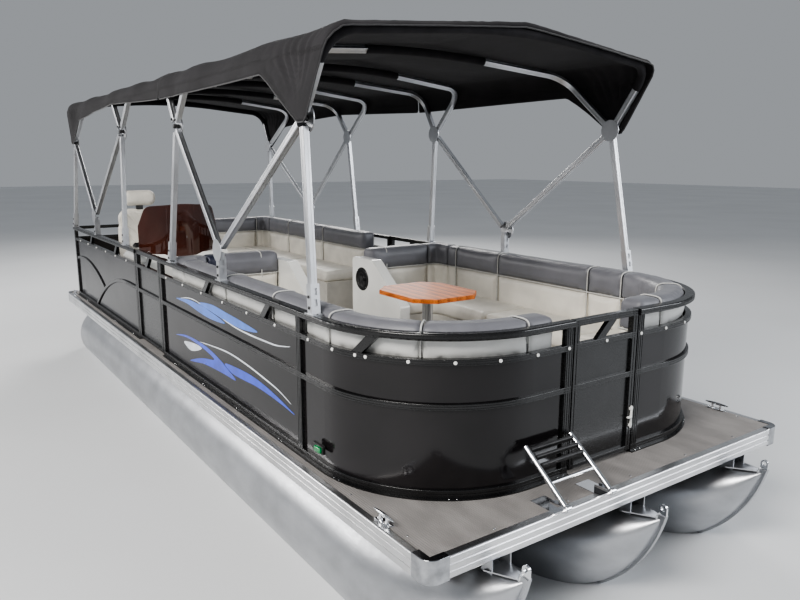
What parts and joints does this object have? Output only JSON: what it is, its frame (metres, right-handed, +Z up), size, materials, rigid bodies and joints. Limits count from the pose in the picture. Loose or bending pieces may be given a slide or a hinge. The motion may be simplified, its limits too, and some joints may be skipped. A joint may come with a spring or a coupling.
{
  "type": "pontoon boat",
  "caption": "Pontoon boat: metal tubes under a flat fenced deck with lounges, helm, table, fabric tops, gates, folding ladder and tilting outboard.",
  "frame": {"origin": "middle of the boat's overall footprint at the bottom of the keel strips", "axes": "+X towards the bow, +Y to port, +Z up"},
  "size_m": [8.748, 2.59, 3.0422],
  "materials": {
    "pontoon_metal": "brushed",
    "frame_metal": "mill",
    "rail_metal": "anodised",
    "bright_metal": "polished",
    "deck_vinyl": "ribbed vinyl",
    "fence_black": "gloss",
    "panel_black": "high gloss",
    "vinyl_grey": "satin vinyl",
    "vinyl_cream": "satin vinyl",
    "seat_plastic": "matt",
    "console_white": "gel coat",
    "tinted_screen": "tinted",
    "wheel_black": "matt",
    "table_wood": "varnished",
    "canopy_cloth": "woven acrylic",
    "motor_dark": "gloss",
    "motor_metal": "cast"
  },
  "bodies": {
    "hull": {"starboard_pontoon": "pontoon_metal", "centre_pontoon": "pontoon_metal", "port_pontoon": "pontoon_metal", "bow_eyes": "bright_metal", "cross_beams": "frame_metal", "deck": "deck_vinyl", "rub_rails": "rail_metal", "corner_caps": "bright_metal", "motor_pod": "pontoon_metal", "starboard_fence_frame": "fence_black", "port_fence_frame": "fence_black", "starboard_fence_panels": "panel_black", "port_fence_panels": "panel_black", "starboard_bow_seat_base": "seat_plastic", "port_bow_seat_base": "seat_plastic", "aft_seat_base": "seat_plastic", "starboard_bow_seat_cushion": "vinyl_cream", "port_bow_seat_cushion": "vinyl_cream", "aft_seat_cushion": "vinyl_cream", "starboard_bow_seat_back": "vinyl_grey", "port_bow_seat_back": "vinyl_grey", "aft_seat_back": "vinyl_grey", "speaker_pods": "console_white", "speakers": "wheel_black", "table_top": "table_wood", "table_pedestal": "rail_metal", "console": "console_white", "windscreen": "tinted_screen", "helm_seat_pedestal": "rail_metal", "front_top_bows": "rail_metal", "rear_top_bows": "rail_metal", "front_top_legs": "rail_metal", "rear_top_legs": "rail_metal", "front_canopy": "canopy_cloth", "rear_canopy": "canopy_cloth", "top_mounts": "rail_metal", "cleats": "bright_metal", "ladder_brackets": "bright_metal", "clamp_bracket": "motor_metal"},
    "bow_gate": {"bow_gate": "fence_black"},
    "stern_gate": {"stern_gate": "fence_black"},
    "starboard_gate": {"starboard_gate": "fence_black"},
    "port_gate": {"port_gate": "fence_black"},
    "helm_seat": {"helm_seat": "vinyl_cream"},
    "steering_wheel": {"steering_wheel": "wheel_black"},
    "boarding_ladder": {"boarding_ladder": "bright_metal", "ladder_treads": "wheel_black"},
    "outboard_swivel": {"swivel_bracket": "motor_metal"},
    "outboard": {"lower_unit": "motor_dark", "engine_block": "motor_metal", "outboard_cowl": "motor_dark"},
    "propeller": {"propeller": "motor_metal"}
  },
  "joints": [
    {"name": "bow_gate_swing", "type": "hinge", "parent": "hull", "child": "bow_gate", "pos_m": [3.929, 0.24, 0.85], "axis": [0, 0, 1], "range_deg": [-90, 0]},
    {"name": "stern_gate_swing", "type": "hinge", "parent": "hull", "child": "stern_gate", "pos_m": [-2.521, -0.24, 0.85], "axis": [0, 0, 1], "range_deg": [-90, 0]},
    {"name": "starboard_gate_swing", "type": "hinge", "parent": "hull", "child": "starboard_gate", "pos_m": [0.664, -1.175, 0.85], "axis": [0, 0, 1], "range_deg": [-90, 0]},
    {"name": "port_gate_swing", "type": "hinge", "parent": "hull", "child": "port_gate", "pos_m": [0.964, 1.175, 0.85], "axis": [0, 0, 1], "range_deg": [0, 90]},
    {"name": "helm_seat_swivel", "type": "hinge", "parent": "hull", "child": "helm_seat", "pos_m": [-1.281, -0.75, 1.16], "axis": [0, 0, 1], "range_deg": [-180, 180]},
    {"name": "ladder_flip", "type": "hinge", "parent": "hull", "child": "boarding_ladder", "pos_m": [4.245, -0.402, 0.854], "axis": [0, 1, 0], "range_deg": [0, 225]},
    {"name": "outboard_tilt", "type": "hinge", "parent": "hull", "child": "outboard_swivel", "pos_m": [-3.411, 0, 0.7], "axis": [0, 1, 0], "range_deg": [-60, 0]},
    {"name": "outboard_steer", "type": "hinge", "parent": "outboard_swivel", "child": "outboard", "pos_m": [-3.436, 0, 0.7433], "axis": [0.866, 0, 0.5], "range_deg": [-30, 30]},
    {"name": "propeller_spin", "type": "hinge", "parent": "outboard", "child": "propeller", "pos_m": [-4.20682, 0, 0.4784], "axis": [0.5, 0, -0.866], "continuous": true},
    {"name": "steering_wheel_turn", "type": "hinge", "parent": "hull", "child": "steering_wheel", "pos_m": [-0.691, -0.72, 1.485], "axis": [0.9063, 0, -0.4226], "range_deg": [-540, 540]}
  ],
  "couplings": [
    {"joint": "steering_wheel_turn", "follows": "outboard_steer", "ratio": 18}
  ]
}
